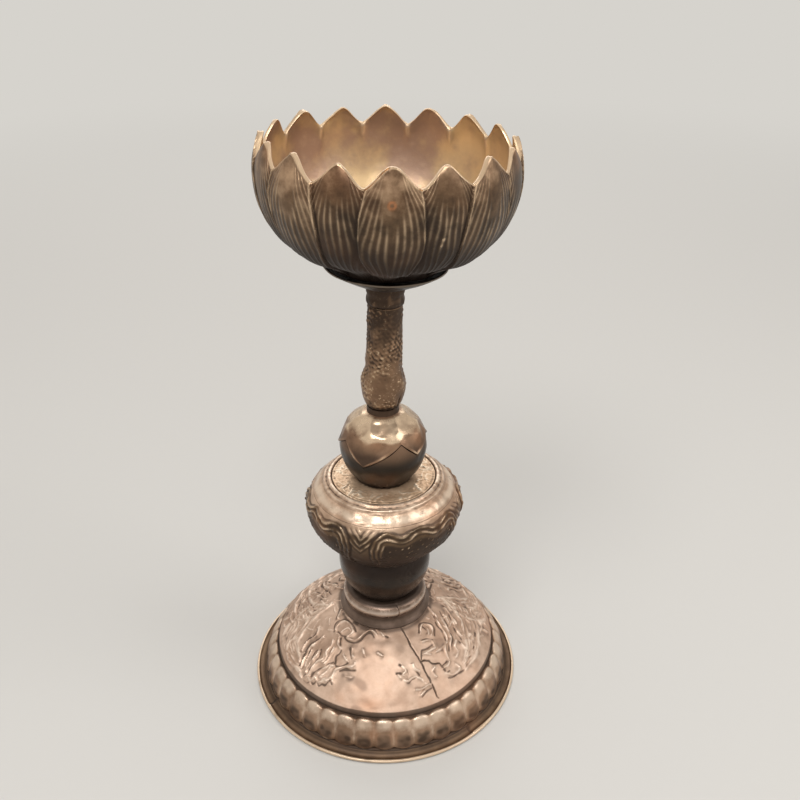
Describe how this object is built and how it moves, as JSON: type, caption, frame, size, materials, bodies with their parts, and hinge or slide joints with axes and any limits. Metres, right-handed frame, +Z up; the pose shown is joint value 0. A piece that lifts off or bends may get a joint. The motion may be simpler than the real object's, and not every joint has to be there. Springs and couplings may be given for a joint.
{
  "type": "candle holder",
  "caption": "Footed copper candle holder: a lotus-petal cup on a waisted stem of turned sections and a domed, gadrooned base.",
  "frame": {"origin": "middle of the foot rim's underside, on the table", "axes": "+Z up along the stem; -Y to the picture's front; +X to its right"},
  "size_m": [0.0882, 0.0882, 0.1806],
  "materials": {
    "worn_copper": "satin, patinated, worn bright on raised work",
    "dark_copper": "satin, dark brown patina",
    "cup_copper": "satin grey-brown patina outside, warm worn copper inside",
    "cast_copper": "rough cast, pitted",
    "iron": "rusty"
  },
  "bodies": {
    "root": {"foot_rim": "worn_copper", "gadroon_band": "worn_copper", "base_dome": "worn_copper", "base_collar": "dark_copper", "neck_bowl": "dark_copper", "drum_lower": "dark_copper", "drum_upper": "worn_copper", "drum_top_plate": "dark_copper", "bud_lower": "dark_copper", "bud_upper": "worn_copper", "stem_tube": "cast_copper", "stem_collar": "cast_copper", "cup_saucer": "dark_copper", "lotus_cup": "cup_copper", "pricket_rod": "iron", "cup_washer": "iron", "cup_nut": "iron", "base_bridge": "iron", "base_washer": "iron", "base_nut": "iron"}
  },
  "joints": []
}
